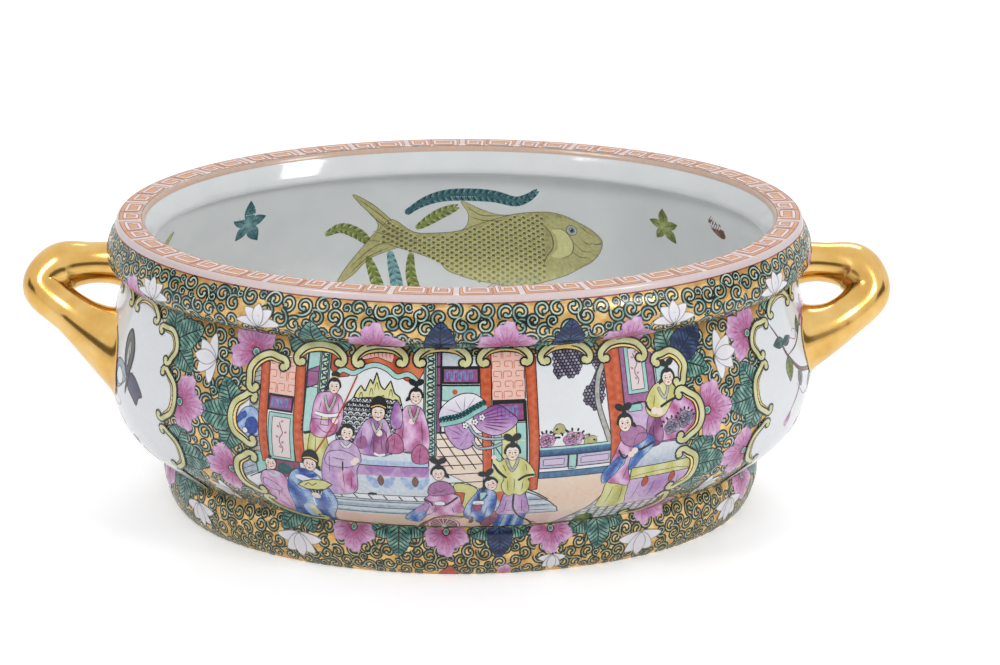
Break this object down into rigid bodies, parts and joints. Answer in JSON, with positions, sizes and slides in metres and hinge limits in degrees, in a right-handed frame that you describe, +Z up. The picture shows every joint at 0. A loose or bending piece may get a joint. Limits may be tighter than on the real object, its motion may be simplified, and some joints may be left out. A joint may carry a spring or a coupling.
{
  "type": "porcelain foot bath",
  "caption": "Oval footed basin with a thick flat lip, a rolled collar, a bulging painted wall and two gilt loop handles.",
  "frame": {"origin": "centre of the oval basin's plan, on the plane that the foot ring stands on", "axes": "+X along the long side towards the right handle, -Y towards the viewer of the main painted panel, +Z up"},
  "size_m": [0.531, 0.3136, 0.186],
  "materials": {
    "white_glaze": "glossy clear glaze over white porcelain, with painted fish and weed inside",
    "painted_glaze": "glossy glaze with raised overglaze enamels on a gold ground",
    "fret_glaze": "glossy glaze with a salmon key fret and pale pink bands",
    "gilding": "polished bright gold over glaze, porcelain underneath"
  },
  "bodies": {
    "root": {"basin_floor": "white_glaze", "basin_wall": "painted_glaze", "foot_ring": "painted_glaze", "rim_collar": "painted_glaze", "lip_ring": "fret_glaze", "handle_left": "gilding", "handle_right": "gilding"}
  },
  "joints": []
}
